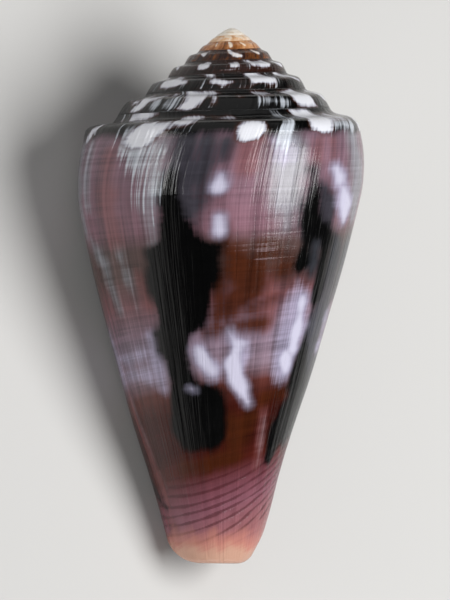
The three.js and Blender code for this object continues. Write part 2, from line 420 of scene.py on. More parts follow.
# %% White drops
WHITE_DROPS = [
    [(92.6, 20.8, 0.6), (92.6, 22.2, 0.7)],
    [(93.2, 26.8, 0.75), (93.6, 28.6, 0.85)],
    [(146, 20.4, 1.3), (149, 21.8, 1.3)],
    [(153.5, 23.6, 0.7), (159, 26, 1.1), (160.5, 28.4, 0.95)],
    [(81.5, 44.6, 1.0), (85, 46.2, 1.2), (89, 48, 1.1)],
    [(98, 42.5, 0.6), (101, 44, 1.0), (106.5, 44.6, 0.9)],
    [(103, 45, 1.3), (100, 46.8, 1.1), (103.5, 49.4, 1.2), (108.5, 51.8, 1.2), (111, 52.8, 1.0)],
    [(73, 49.5, 0.1), (78, 50.2, 0.25)],
    [(139, 38.8, 0.8), (140.5, 42.5, 1.3), (139.5, 46, 1.3)],
    [(134.5, 47.6, 1.4), (137, 49, 1.2)],
    [(190, 36, 0.9), (193, 40, 1.1)],
    [(226, 42, 1.2), (231, 48, 1.0)],
    [(243, 21, 0.7), (244, 24, 0.6)],
    [(247, 44, 1.0), (251, 50, 0.7)],
    [(290, 24, 0.8), (293, 28, 0.9)],
    [(297, 43, 1.2), (301, 48, 1.1), (303, 52, 0.6)],
    [(340, 36, 0.8), (343, 41, 1.0)],
]
white = drawn(WHITE_DROPS)

# %% [markdown]
# The soft layers.
# Between the blotches the ground turns lilac-white, rose, rust, slate or pearl grey
# without a clear edge. A few broad strokes are enough for each of them. Streaks are pale
# growth lines and threads are pale spiral lines: they stand apart instead of filling
# their patch. Some strokes are painted highlight: pale streaks and a grey stroke at 50 to
# 65 degrees for the left highlight, pearl grey under the long right highlight, and a lilac
# spot on the right edge.

# %% Soft patches
LILAC_AND_PAINTED_HIGHLIGHT_PATCHES = [
    [(114, 15.6, 1.0), (118, 18, 1.2)],
    [(55, 42.5, 0.7), (56, 47, 1.3), (57, 49.4, 0.8)],
    [(134.5, 36.2), (128, 40), (125, 44), (125, 49), (129, 51.2), (141, 50.8), (145, 47),
     (146.5, 41), (141, 37.4)],
    [(16, 44, 0.0), (34, 44.6, 0.4), (50, 44, 0.2)],
    [(12, 46.4, 0.2), (30, 46.6, -0.1), (50, 47.2, 0.5)],
    [(84, 45.4, 0.5), (90, 48, 0.6)],
    [(99, 43.6, 0.8), (106, 46, 1.2), (104, 48, 0.7)],
    [(146, 20, 0.8), (158, 26, 0.9)],
    # Painted highlight: a lilac spot on the right edge of the body.
    [(172, 42.5, 0.8), (171, 46.8, 1.0)],
    [(12, 41, 1.0), (16, 46, 1.2)],
    [(240, 42, 2.4), (242, 49, 2.0)],
    [(300, 38, 2.2), (304, 49, 2.2)],
    [(235, 17, 1.6), (238, 27, 1.2)],
    [(345, 42, 2.2), (348, 48, 2.0)],
]
STREAK_AND_PAINTED_HIGHLIGHT_PATCHES = [
    [(116, 12.8, 0.5), (122, 14.6, 0.5)],
    [(142, 13.6, 0.9), (158, 14.2, 0.9)],
    [(402, 13.6, 0.8), (416, 14.2, 0.8)],
    [(469, 13.4, 0.8), (484, 14.2, 0.9)],
    [(748, 13.6, 0.5), (772, 13.8, 0.5)],
    [(826, 13.4, 0.5), (846, 13.8, 0.5)],
    # Painted highlight: these two strokes at 50 to 65 degrees stand for the left highlight.
    [(50, 15, 1.6), (55, 17, 1.7), (58, 21, 0.9), (60, 25, 0.1)],
    [(64.5, 17, 0.2), (64.5, 27, -0.3)],
    [(118, 13.6, 1.0), (118, 16, 1.2)],
    [(150, 13.6, 0.6), (150, 15, 0.6)],
    [(222, 17, 0.6), (226, 26, 0.1)],
    [(296, 15, 0.8), (300, 24, 0.2)],
]
ROSE_PATCHES = [
    [(38, 17, 0.9), (41, 23, 1.6), (42, 29, 1.2)],
    [(102, 15.6, 1.9), (103, 19.4, 1.4)],
    [(133, 16, 0.9), (134, 19.8, 0.8)],
    [(142, 16.4, 0.6), (144, 19, 0.6)],
    [(150, 22.6, 0.9), (155, 25.6, 0.6)],
    [(54, 34, 0.8), (57, 38, 0.7)],
    [(118, 36, 0.9), (119, 42, 1.3)],
    [(24, 66, 1.0), (40, 67.6, 0.8)],
    [(18, 50, 0.8), (26, 57, 1.3), (34, 64, 0.6)],
    [(126, 55, 0.6), (127, 62, 1.0)],
    [(190, 18, 2.0), (192, 28, 1.8)],
    [(284, 17, 1.8), (287, 36, 1.8)],
]
RUST_PATCHES = [
    [(99, 31.6, 1.6), (105, 34, 2.8), (108, 36.8, 2.2), (99, 39, 2.0), (97, 41, 1.0)],
    [(92, 35, 1.2), (94, 39, 1.6), (92, 42, 0.9)],
    [(108, 39.6, 0.8), (122, 38.4, 0.3)],
    [(104, 41.8, 0.6), (120, 42, 0.1)],
    [(114, 31.6, 1.4), (125, 32.6, 1.3), (124, 35, 1.6)],
    [(86, 42.6, 0.7), (95, 42.2, 1.2), (116, 42, 0.9)],
    [(100, 55, 1.2), (106, 57.6, 2.6), (112, 55.6, 1.8)],
    [(60, 60.2, 1.0), (85, 60.6, 1.3), (108, 60.4, 1.2)],
    [(124, 52.6, 1.2), (138, 52.6, 0.7)],
    [(96, 28, 0.5), (97, 30, 0.6)],
    [(236, 32, 2.4), (246, 35, 2.4)],
    [(238, 55, 2.4), (250, 56, 2.6)],
    [(292, 33, 2.0), (302, 33, 1.6)],
    [(296, 56, 2.6), (306, 56, 2.2)],
]
SLATE_PATCHES = [
    [(74, 14.8, 1.9), (76, 20, 2.4), (79, 25.6, 2.1)],
    [(83, 15.5, 1.5), (84, 19, 1.5), (83, 27, 1.0)],
    [(91, 16, 0.9), (92, 18.4, 0.5)],
    [(138, 22.4, 0.9), (143, 25, 1.6), (145, 29, 1.5)],
    [(133, 20.4, 1.0), (135, 30, 1.2)],
    [(141, 31, 1.7), (142, 35.4, 1.3)],
    [(158, 31.6, 1.6), (160, 38, 2.6), (158, 42, 2.6), (158, 50, 3.0), (160, 58, 2.8)],
    [(174, 32, 2.0), (174, 38, 2.0)],
    [(172, 50, 2.6), (174, 58, 2.4)],
    [(2, 28, 1.0), (6, 40, 1.0)],
    [(209, 18, 2.2), (212, 28, 2.0)],
    [(266, 20, 2.4), (268, 40, 2.6)],
    [(320, 20, 2.2), (322, 38, 2.4)],
]
PEARL_AND_PAINTED_SHEEN_PATCHES = [
    [(10, 16, 1.2), (12, 22, 1.6), (14, 27, 1.2)],
    [(22, 16, 0.7), (24, 24, 0.6)],
    # Painted reflection: a grey streak at 64 degrees, part of the left highlight.
    [(64, 16.4, 0.8), (64, 24, 0.9), (64, 29.6, 0.5)],
    # Painted highlight: pale grey under the long right highlight, which makes it whiter.
    [(119, 16.4, 1.9), (121.5, 23, 1.8), (123, 28.4, 0.8)],
    [(22, 28.6, 0.6), (31, 32, 1.2), (36, 38, 0.5)],
    [(44, 30.4, 0.1), (47, 34, 0.4), (49, 38, 0.0)],
    [(158, 15.6, 1.6), (165, 20, 1.8), (170, 27, 1.4)],
    [(126.5, 56, -0.2), (127.5, 62, 0.1)],
    [(22, 50, -0.2), (30, 57, -0.2), (38, 62, -0.6)],
]
THREAD_PATCHES = [
    [(100, 32, 0.7), (126, 32, 0.9)],
]
soft_layers = {
    "rose": drawn(ROSE_PATCHES),
    "rust": drawn(RUST_PATCHES),
    "slate": drawn(SLATE_PATCHES),
    "pearl_and_painted_sheen": drawn(PEARL_AND_PAINTED_SHEEN_PATCHES),
    "lilac_and_painted_highlight": drawn(LILAC_AND_PAINTED_HIGHLIGHT_PATCHES),
    "streaks_and_painted_highlight": drawn(STREAK_AND_PAINTED_HIGHLIGHT_PATCHES),
    "threads": np.minimum(drawn(THREAD_PATCHES), 0),
}
print("soft layers", ", ".join(soft_layers))

# %% [markdown]
# The flames of the spire.
# Ramps and shoulder are black with white flames, which lean as the growth lines do. On
# the side that the photo shows they are drawn one by one, as degrees and as height in
# millimetres of the newest turn. Each list belongs to one turn, the newest first.

# %% Spire flames
SPIRE_FLAMES = [
    [
        [(23, 13.1, 0.3), (18, 14.2, 0.6), (14, 15.1, 0.5)],
        [(49, 13.1), (63, 12.9), (65, 13.7), (63, 14.8), (58, 16.2), (50, 16.4), (44, 15.8), (47, 14.2)],
        [(63, 13.4), (66, 12.6), (80, 12.1), (83, 12.5), (75, 12.9), (70, 13.5)],
        [(31, 12.6, 0.35), (40, 12.2, 0.45), (50, 12.0, 0.3)],
        [(81, 12.9, 0.08), (92, 12.9, 0.06)],
        [(96, 14.0, 1.0), (101, 14.1, 1.1), (101, 14.7, 1.1), (97, 14.7, 1.1)],
        [(126, 12.1), (138, 12.1), (140, 13.4), (141, 15.0), (134, 15.9), (128, 15.0), (126, 13.6)],
        [(140, 13.0, 0.08), (160, 13.0, 0.08)],
        [(168, 12.9), (177, 12.9), (180, 14.2), (177, 15.6), (172, 15.4), (169, 14.0)],
    ],
    [
        [(12, 12.9, 0.35), (16, 13.0, 0.3)],
        [(21, 13.5, 0.12), (25, 13.3, 0.12)],
        [(27, 12.3), (50, 12.0), (52, 12.5), (43, 12.9), (38, 13.6), (34, 15.0), (24, 15.0), (29, 13.6)],
        [(61, 12.0), (84, 12.0), (85, 12.5), (75, 12.8), (72, 13.8), (67, 15.0), (58, 15.0), (64, 13.2)],
        [(80, 13.0, 0.5), (80, 13.6, 0.4)],
        [(92, 12.8, 0.12), (96, 12.9, 0.3), (99, 12.7, 0.1)],
        [(103, 12.0), (116, 12.0), (117, 12.8), (110, 13.0), (105, 12.7)],
        [(127, 12.2), (144, 12.1), (148, 13.2), (150, 15.0), (133, 15.0), (129, 13.8)],
        [(152, 12.7, 0.25), (154, 13.1, 0.2)],
        [(163, 12.5, 0.4), (171, 13.5, 0.35)],
    ],
    [
        [(9, 12.5, 0.4), (17, 12.4, 0.25)],
        [(27, 12.9), (42, 12.4), (54, 12.7), (55, 13.8), (48, 14.4), (26, 14.6)],
        [(61, 12.0, 0.12), (72, 11.9, 0.2)],
        [(75, 13.5, 0.2), (82, 13.7, 0.4), (90, 13.5, 0.2)],
        [(103, 12.0), (119, 12.0), (127, 12.9), (128, 14.2), (107, 14.4), (104, 12.8)],
        [(141, 12.2, 0.4), (152, 12.8, 0.6), (163, 13.7, 0.4)],
    ],
    [
        [(14, 12.8, 0.4), (22, 13.4, 0.4)],
        [(51, 12.4), (65, 12.4), (66, 13.6), (61, 14.6), (53, 14.6)],
        [(85, 12.4), (97, 12.5), (95, 13.5), (88, 14.0)],
        [(79, 14.6, 0.15), (92, 14.3, 0.25)],
        [(114, 12.7, 0.5), (134, 13.2, 0.7)],
        [(150, 12.8, 0.5), (164, 13.6, 0.6)],
    ],
    [
        [(86, 12.6, 0.5), (92, 13.5, 0.6), (104, 14.6, 0.2)],
        [(40, 12.8, 0.4), (48, 13.8, 0.4)],
        [(128, 12.8, 0.4), (136, 13.6, 0.5)],
    ],
    [
        [(54, 12.8, 0.5), (56, 14.0, 0.4)],
        [(84, 12.6, 0.7), (88, 14.4, 0.8)],
        [(112, 13.0, 0.4), (118, 14.4, 0.6)],
        [(140, 13.6, 0.6)],
    ],
    [[(66, 12.6, 0.7), (84, 13.8, 1.1)], [(104, 12.8, 0.9), (122, 14.2, 0.9)]],
    [[(60, 13.0, 1.0), (96, 13.4, 1.3)], [(128, 13.2, 1.0)]],
]
FLAMES_PER_TURN = 10
FIRST_GUESSED = 186


def turned(points, turn):
    """The same outline or stroke, moved on by whole turns."""
    return [(point[0] + 360 * turn, *point[1:]) for point in points]


random = np.random.default_rng(7)
flames = [turned(points, turn) for turn, marks in enumerate(SPIRE_FLAMES) for points in marks]
for turn in range(len(SPIRE_FLAMES)):
    for start in np.arange(FIRST_GUESSED, 356, 360 / FLAMES_PER_TURN):
        start += random.uniform(-5, 5)
        top, bottom = random.uniform(12.1, 13.2), random.uniform(13.6, 15.2)
        wide = random.uniform(0.35, 0.95)
        flames.append(turned([(start + 12, top, wide * 0.6), (start, bottom, wide)], turn))
flames = drawn(flames)
BAND_EDGE = 15.2
band = np.where(degrees > 352, 2.0, BAND_EDGE - height)
black = np.maximum(black, np.where(height < 17, band, -9.0))
sparse = np.where(height < 15, -1.0, -9.0)
soft_layers["streaks_and_painted_highlight"] = np.maximum(soft_layers["streaks_and_painted_highlight"], sparse)
soft_layers["brown"] = smooth_step(1.0, 3.4, chart["turn"]) * 1.8 - 1.4
print("chart points in flames", int((flames > 0).sum()))

# %% [markdown]
# The chart as a mesh.
# The chart is still flat here: turns run along X and depth runs down Y. Everything that
# the winding and the material need rides along as named attributes on its points.

# %% Chart mesh
CAP_HEIGHT = 3.6
chart_mesh = bpy.data.meshes.new("shell_chart")
chart_points = np.stack([chart["turn"] * LENGTH, -chart["depth"], 0 * degrees], axis=1)
chart_mesh.from_pydata(chart_points.tolist(), [], faces)
layers = {
    "turn": chart["turn"],
    "radius_share": chart["radius"] / size_here,
    "depth_share": height,
    "setback": chart["setback"],
    "outside": chart["outside"],
    "along": flat[:, 0],
    "black": black,
    "white": white,
    "flames": flames,
    "cap": chart["depth"] - (LENGTH - CAP_HEIGHT),
    **soft_layers,
}
for name, values in layers.items():
    attribute = chart_mesh.attributes.new(name, "FLOAT", "POINT")
    attribute.data.foreach_set("value", values.astype(np.float32))
shell = bpy.data.objects.new("polished_cone_shell", chart_mesh)
bpy.context.scene.collection.objects.link(shell)
print("chart mesh", len(chart_mesh.vertices), "points", len(chart_mesh.polygons), "faces")

# %% [markdown]
# The colour of the ground.
# A glassy porcelain surface with all its colour just under the skin. Colours are picked
# as screen values, and one function turns them to the linear values that light needs.

# %% Colours
HEIGHT_RANGE = 80.0
GROUND = [
    (12, "#15100f"), (15, "#6e5762"), (21, "#705661"), (28, "#73545e"), (30.5, "#4c3937"),
    (34, "#483431"), (38, "#694549"), (43, "#746371"), (47.5, "#74626d"), (50, "#4d2823"),
    (53, "#34100a"), (58, "#2f0c07"), (61, "#431710"), (64.5, "#693d46"), (67, "#784c57"),
    (70, "#84555a"), (76, "#a06a66"),
]


def linear(hex_colour, alpha=1.0):
    """A screen colour such as #8a6873 as linear red, green, blue and alpha."""
    parts = [int(hex_colour[i : i + 2], 16) / 255 for i in (1, 3, 5)]
    return [p / 12.92 if p <= 0.04045 else ((p + 0.055) / 1.055) ** 2.4 for p in parts] + [alpha]


print("ground colours", len(GROUND))

# %% [markdown]
# The glaze: what this material is.
# Aragonite porcelain, wet-looking and hard. The eye sees a clear sharp reflection, broken
# by fine growth lines, over a ground that looks woven, because growth lines and spiral
# lines both carry pigment. Growth lines are about 0.3 mm apart, spiral lines 0.5 mm, and
# broader stripes of older and newer growth about 1.5 mm.

# %% Shell material: patterns
GROWTH_LINE_MM = 0.3
SPIRAL_LINE_MM = 0.5
STRIPE_MM = 1.5
glaze = bpy.data.materials.new("polished_porcelain_shell")
glaze.use_nodes = True
paint = glaze.node_tree
paint.nodes.clear()
read = {
    name: add(paint, "ShaderNodeAttribute", attribute_name=name).outputs["Fac"]
    for name in (
        "turn", "depth_share", "outside", "along", "groove", "cap", "black", "white", "flames",
        *soft_layers,
    )
}


def lines(across_mm, along_mm, detail, seed):
    """Noise drawn out into lines: its size across the growth lines and down the shell."""
    x = add(paint, MATH, [read["along"], across_mm], operation="DIVIDE")
    y = add(paint, MATH, [read["depth_share"], along_mm], operation="DIVIDE")
    where = add(paint, "ShaderNodeCombineXYZ", [x, y, seed])
    settings = {"Vector": where, "Scale": 1.0, "Detail": detail, "Roughness": 0.6}
    return add(paint, "ShaderNodeTexNoise", settings).outputs["Fac"]


growth_lines = lines(GROWTH_LINE_MM, 24.0, 3.0, 1.5)
spiral_lines = lines(26.0, SPIRAL_LINE_MM, 2.0, 5.5)
stripes = lines(STRIPE_MM, 30.0, 2.0, 3.5)
clouds = lines(5.0, 5.0, 3.0, 9.5)
wander = lines(3.0, 3.0, 0.0, 12.5)
print("pattern nodes", len(paint.nodes))

# %% [markdown]
# Painting in layers.
# The ground colour runs down the shell as a ramp. Each marking is painted over it where
# the point lies inside it. The depth is shifted by the line patterns before it is cut, so
# the edges fray along growth lines and spiral lines, as pigment cells do.

# %% Shell material: colour
WANDER_MM = 1.8


def painted(under, colour, depth_in, edge_mm, fray_mm, level_mm, strength=1.0):
    """Paints a colour where depth_in is positive, with a soft and frayed edge."""
    swing = -0.5 * (fray_mm + level_mm + WANDER_MM)
    frayed = add(paint, MATH, [wander, WANDER_MM, depth_in], operation="MULTIPLY_ADD")
    frayed = add(paint, MATH, [growth_lines, fray_mm, frayed], operation="MULTIPLY_ADD")
    frayed = add(paint, MATH, [spiral_lines, level_mm, frayed], operation="MULTIPLY_ADD")
    edges = {"Value": frayed, "From Min": -edge_mm - swing, "From Max": edge_mm - swing,
             "To Max": strength}
    mask = add(paint, "ShaderNodeMapRange", edges, interpolation_type="SMOOTHSTEP")
    over = {0: mask, 6: under, 7: linear(colour)}
    return add(paint, "ShaderNodeMix", over, data_type="RGBA").outputs[2]


def ramp_of(value, stops, reach):
    """A colour ramp over a value between 0 and reach."""
    share = add(paint, MATH, [value, reach], operation="DIVIDE")
    ramp = add(paint, "ShaderNodeValToRGB", {"Fac": share})
    for n, (at, colour) in enumerate(stops):
        old = ramp.color_ramp.elements
        stop = old[n] if n < 2 else old.new(at / reach)
        stop.position, stop.color = at / reach, linear(colour)
    return ramp.outputs["Color"]


colour = ramp_of(read["depth_share"], GROUND, HEIGHT_RANGE)
in_groove = add(paint, MATH, [read["groove"], 2.0, -2.0], operation="MULTIPLY_ADD")
in_groove = add(paint, MATH, [clouds, 2.0, in_groove], operation="MULTIPLY_ADD")
colour = painted(colour, "#3a1417", in_groove, 1.0, 0.5, 2.0, 0.6)
# Pearl grey, partly a painted sheen under and beside the highlights.
colour = painted(colour, "#82888f", read["pearl_and_painted_sheen"], 1.2, 2.2, 0.8, 0.65)
colour = painted(colour, "#6b3f3e", read["rose"], 1.1, 1.6, 0.8, 0.6)
colour = painted(colour, "#391808", read["rust"], 1.3, 1.8, 1.6, 0.95)
colour = painted(colour, "#272c32", read["slate"], 1.2, 1.8, 0.9, 0.9)
# Lilac-white, with a spot of painted highlight on the right edge.
colour = painted(colour, "#9a94ab", read["lilac_and_painted_highlight"], 1.1, 1.6, 0.8, 0.75)
colour = painted(colour, "#030303", read["black"], 0.8, 1.5, 0.9)
colour = painted(colour, "#28120b", read["brown"], 0.6, 1.0, 2.0)
threads = add(paint, MATH, [read["threads"], 0.5], operation="SUBTRACT")
colour = painted(colour, "#85757a", threads, 0.4, 1.5, 6.5, 0.32)
# Pale growth streaks; at 50 to 65 degrees they are a painted highlight.
streaks_and_painted_highlight = add(paint, MATH, [stripes, 4.0, read["streaks_and_painted_highlight"]], operation="MULTIPLY_ADD")
streaks_and_painted_highlight = add(paint, MATH, [streaks_and_painted_highlight, 2.2], operation="SUBTRACT")
colour = painted(colour, "#afb4bc", streaks_and_painted_highlight, 0.6, 5.0, 0.6, 0.85)
print("paint nodes", len(paint.nodes))

# %% [markdown]
# The weave.
# Growth lines and spiral lines carry a little pigment everywhere, so the ground looks
# like cloth. They make it lighter and darker without changing its hue.

# %% Shell material: weave
WEAVE = ((growth_lines, 1.15), (spiral_lines, 0.85), (stripes, 1.5), (clouds, 0.45))
brightness = 1 - sum(amount for pattern, amount in WEAVE) / 2
for pattern, amount in WEAVE:
    brightness = add(paint, MATH, [pattern, amount, brightness], operation="MULTIPLY_ADD")
evened = add(
    paint, "ShaderNodeMapRange",
    {"Value": read["depth_share"], "From Min": 48.0, "From Max": 66.0, "To Max": 0.7},
)
brightness = add(paint, "ShaderNodeMix", {0: evened, 2: brightness, 3: 1.0})
colour = add(paint, "ShaderNodeHueSaturation", {"Value": brightness, "Color": colour})
print("woven nodes", len(paint.nodes))

# %% [markdown]
# White, cream and gold.
# Opaque white drops and flames lie over the weave. The lower end is cream with a salmon
# edge, and the oldest turns are worn to golden brown with pale patches. The inner face
# of the wall never carries a pattern: it is bluish white.

# %% Shell material: whites, ends and inside
TIP_FROM_TURN, TIP_FULL_AT_TURN = 3.8, 5.4
TIP = [(4, "#3a1a0c"), (5, "#a8642a"), (6, "#deb083"), (7, "#f6ecdd")]
colour = painted(colour, "#b3786a", read["cap"], 1.4, 0.6, 1.2, 0.85)
below = add(paint, MATH, [read["cap"], 1.6], operation="SUBTRACT")
colour = painted(colour, "#b8937f", below, 0.9, 0.6, 1.6, 0.85)
colour = painted(colour, "#8f8ba0", read["white"], 0.9, 0.8, 0.4, 0.9)
core = add(paint, MATH, [read["white"], 0.45], operation="SUBTRACT")
colour = painted(colour, "#b4b1c3", core, 0.6, 0.6, 0.3)
rims = add(paint, MATH, [read["flames"], 0.2])
colour = painted(colour, "#4a2410", rims, 0.4, 0.8, 0.6, 0.8)
colour = painted(colour, "#7e8196", read["flames"], 0.25, 1.0, 0.6, 0.95)
flame_core = add(paint, MATH, [read["flames"], 0.12], operation="SUBTRACT")
colour = painted(colour, "#d3d4da", flame_core, 0.35, 1.2, 0.8)
mottled = add(paint, MATH, [clouds, 2.4, read["turn"]], operation="MULTIPLY_ADD")
mottled = add(paint, MATH, [stripes, 2.0, mottled], operation="MULTIPLY_ADD")
mottled = add(paint, MATH, [mottled, 2.2], operation="SUBTRACT")
worn = add(
    paint, "ShaderNodeMapRange",
    {"Value": mottled, "From Min": TIP_FROM_TURN, "From Max": TIP_FULL_AT_TURN},
)
golden = ramp_of(mottled, TIP, TURNS)
golden = painted(golden, "#ead6bd", read["flames"], 0.4, 0.6, 0.6)
colour = add(paint, "ShaderNodeMix", {0: worn, 6: colour, 7: golden}, data_type="RGBA").outputs[2]
lining = {0: read["outside"], 6: linear("#cfcad6"), 7: colour}
colour = add(paint, "ShaderNodeMix", lining, data_type="RGBA").outputs[2]
print("colour nodes", len(paint.nodes))

# %% [markdown]
# Gloss and fine relief.
# Polished shell reflects sharply, and the growth lines break up each reflection into
# streaks. They stand a few hundredths of a millimetre high: a bump is enough for them.
# Solid shell has an index of 1.53 to 1.68. The photo's reflections are weaker than that,
# as from a thin waxy skin, so the index is lower here.

# %% Shell material: surface
SHELL_IOR = 1.42
LINE_RELIEF_M = 0.00009
rough = add(paint, MATH, [growth_lines, 0.12, 0.07], operation="MULTIPLY_ADD")
relief = add(paint, MATH, [spiral_lines, 0.25, growth_lines], operation="MULTIPLY_ADD")
relief = add(paint, MATH, [stripes, 2.2, relief], operation="MULTIPLY_ADD")
bump = add(paint, "ShaderNodeBump", {"Strength": 0.8, "Distance": LINE_RELIEF_M, "Height": relief})
surface = add(
    paint, "ShaderNodeBsdfPrincipled",
    {"Base Color": colour, "Roughness": rough, "IOR": SHELL_IOR, "Normal": bump},
)
add(paint, "ShaderNodeOutputMaterial", {"Surface": surface})
print("material nodes", len(paint.nodes))

# %% [markdown]
# Winding the chart.
# Geometry Nodes turn each chart point's shares into a place. Size falls with the turn,
# the angle is the turn itself, and radius and depth are shares of size. A wave of fine
# cords is cut round the lower end, and slow swellings from uneven growth run down the
# side. The tree is built here, so every size has a name on the modifier.

# %% Winding tree
MM = 0.001
tree = bpy.data.node_groups.new("wind_the_shell", "GeometryNodeTree")
SIZES = {
    "Growth": GROWTH, "Turns": TURNS, "Tip rounding": 0.95, "Tip reach": 2.2,
    "Cord depth": 0.03, "Cord spacing": 1.3, "Cord sweep": 3.4, "Swelling": 0.007,
    "Roll": 140.0, "Tilt": 12.6,
}
kinds = {"Chart": "Geometry", **dict.fromkeys(SIZES, "Float"), "Finish": "Material"}
sockets = {
    name: tree.interface.new_socket(name, in_out="INPUT", socket_type="NodeSocket" + kind)
    for name, kind in kinds.items()
}
tree.interface.new_socket("Shell", in_out="OUTPUT", socket_type="NodeSocketGeometry")
given = add(tree, "NodeGroupInput").outputs
point = {
    name: add(tree, "GeometryNodeInputNamedAttribute", {"Name": name}, data_type="FLOAT")
    for name in ("turn", "radius_share", "depth_share", "setback", "outside")
}
smallest = add(tree, MATH, [given["Growth"], given["Turns"]], operation="POWER")
shrunk = add(tree, MATH, [given["Growth"], point["turn"]], operation="POWER")
size = add(tree, "ShaderNodeMapRange", {"Value": shrunk, "From Min": smallest})
angle = add(tree, MATH, [add(tree, MATH, [point["turn"], point["setback"]]), 2 * math.pi],
            operation="MULTIPLY")
print("winding nodes so far", len(tree.nodes))

# %% [markdown]
# Cords and swellings.
# The cords are a wave in the depth share, with uneven spacing and only on the lowest
# part. They are cut inward, so the shell keeps its outline. The depth of the cut is also
# stored as groove, because dark pigment lies in the grooves.

# %% Cords and swellings
CORDS_FROM, CORDS_FULL, CORDS_TO, CORDS_GONE = 58.0, 63.5, 70.5, 72.5
LOWEST_SWEEP_DEGREES = 80
crossing = add(tree, MATH, [point["turn"], 2.0], operation="MULTIPLY")
waver = add(tree, "ShaderNodeCombineXYZ", [crossing, point["depth_share"]])
waver = add(tree, "ShaderNodeTexNoise", {"Vector": waver, "Scale": 0.5, "Detail": 1.0})
sweep = add(tree, MATH, [angle, math.radians(LOWEST_SWEEP_DEGREES)], operation="SUBTRACT")
sweep = add(tree, MATH, [sweep], operation="COSINE")
sweep = add(tree, MATH, [sweep, given["Cord sweep"]], operation="MULTIPLY")
swept = add(tree, MATH, [point["depth_share"], sweep], operation="SUBTRACT")
cord = add(tree, MATH, [swept, given["Cord spacing"]], operation="DIVIDE")
cord = add(tree, MATH, [waver.outputs["Fac"], 1.3, cord], operation="MULTIPLY_ADD")
wave = add(tree, MATH, [add(tree, MATH, [cord, 2 * math.pi], operation="MULTIPLY")],
           operation="SINE")
fades_in = {"Value": point["depth_share"], "From Min": CORDS_FROM, "From Max": CORDS_FULL}
fades_out = {"Value": point["depth_share"], "From Min": CORDS_GONE, "From Max": CORDS_TO}
here = [add(tree, "ShaderNodeMapRange", fade, interpolation_type="SMOOTHSTEP")
        for fade in (fades_in, fades_out)]
here = add(tree, MATH, here, operation="MULTIPLY")
here = add(tree, MATH, [here, point["outside"]], operation="MULTIPLY")
cut = add(tree, "ShaderNodeMapRange", {"Value": wave, "From Min": 0.1}, interpolation_type="SMOOTHSTEP")
cut = add(tree, MATH, [cut, here], operation="MULTIPLY")
slow = add(tree, MATH, [point["turn"], 14.0], operation="MULTIPLY")
uneven = add(tree, "ShaderNodeTexNoise", {"W": slow, "Scale": 1.0}, noise_dimensions="1D")
swell = add(tree, MATH, [uneven.outputs["Fac"], 0.75], operation="SUBTRACT")
swell = add(tree, MATH, [swell, given["Swelling"]], operation="MULTIPLY")
swell = add(tree, MATH, [swell, point["outside"], 1.0], operation="MULTIPLY_ADD")
radius = add(tree, MATH, [point["radius_share"], size], operation="MULTIPLY")
radius = add(tree, MATH, [radius, swell], operation="MULTIPLY")
sunk = add(tree, MATH, [cut, given["Cord depth"]], operation="MULTIPLY")
radius = add(tree, MATH, [radius, sunk], operation="SUBTRACT")
print("winding nodes so far", len(tree.nodes))

# %% [markdown]
# The worn tip.
# The first turns of a cone shell are always rubbed blunt. Depths near the tip are pressed
# together, more the nearer they are, with a soft exponential fade.

# %% Worn tip
depth = add(tree, MATH, [point["depth_share"], size], operation="MULTIPLY")
near = add(tree, MATH, [depth, given["Tip reach"]], operation="DIVIDE")
near = add(tree, MATH, [math.e, add(tree, MATH, [near, -1.0], operation="MULTIPLY")],
           operation="POWER")
pressed = add(tree, MATH, [near, given["Tip rounding"]], operation="MULTIPLY")
kept = add(tree, MATH, [1.0, pressed], operation="SUBTRACT")
depth = add(tree, MATH, [depth, kept], operation="MULTIPLY")
print("winding nodes so far", len(tree.nodes))

# %% [markdown]
# Laying the shell down.
# The wound shell is rolled about its own axis and tilted until it rests on the lip and
# the belly, as in the CAD model, and then turned from millimetres into metres.

# %% Placing
arm = add(tree, "ShaderNodeCombineXYZ", {"X": radius, "Z": add(tree, MATH, [depth, -1.0],
                                                               operation="MULTIPLY")})
roll = add(tree, MATH, [given["Roll"]], operation="RADIANS")
swing = add(tree, MATH, [angle, roll])
tip_back = add(tree, MATH, [given["Tilt"], 90.0], operation="SUBTRACT")
tip_back = add(tree, MATH, [tip_back], operation="RADIANS")
turned_out = add(tree, "ShaderNodeVectorRotate", {"Vector": arm, "Angle": swing},
                 rotation_type="Z_AXIS")
laid = add(tree, "ShaderNodeVectorRotate", {"Vector": turned_out, "Angle": tip_back},
           rotation_type="X_AXIS")
metres = add(tree, "ShaderNodeVectorMath", {0: laid, "Scale": MM}, operation="SCALE")
kept_cut = add(tree, "GeometryNodeStoreNamedAttribute",
               {"Geometry": given["Chart"], "Name": "groove", "Value": cut}, data_type="FLOAT")
moved = add(tree, "GeometryNodeSetPosition", {"Geometry": kept_cut, "Position": metres})
smooth = add(tree, "GeometryNodeSetShadeSmooth", {"Geometry": moved})
real = add(tree, "GeometryNodeRealizeInstances", {"Geometry": smooth})
finished = add(tree, "GeometryNodeSetMaterial", {"Geometry": real, "Material": given["Finish"]})
add(tree, "NodeGroupOutput", {0: finished})
winding = shell.modifiers.new("winding", "NODES")
winding.node_group = tree
for name, value in SIZES.items():
    winding[sockets[name].identifier] = float(value)
winding[sockets["Finish"].identifier] = glaze
print("winding nodes in all", len(tree.nodes))

# %% [markdown]
# From tree to plain mesh.
# The result becomes a plain mesh, so that the export and the frame see one solid piece.
# Its origin goes under the middle of its box, where the CAD model has it. Only true
# creases, such as the sutures and the lip's edge, stay sharp.

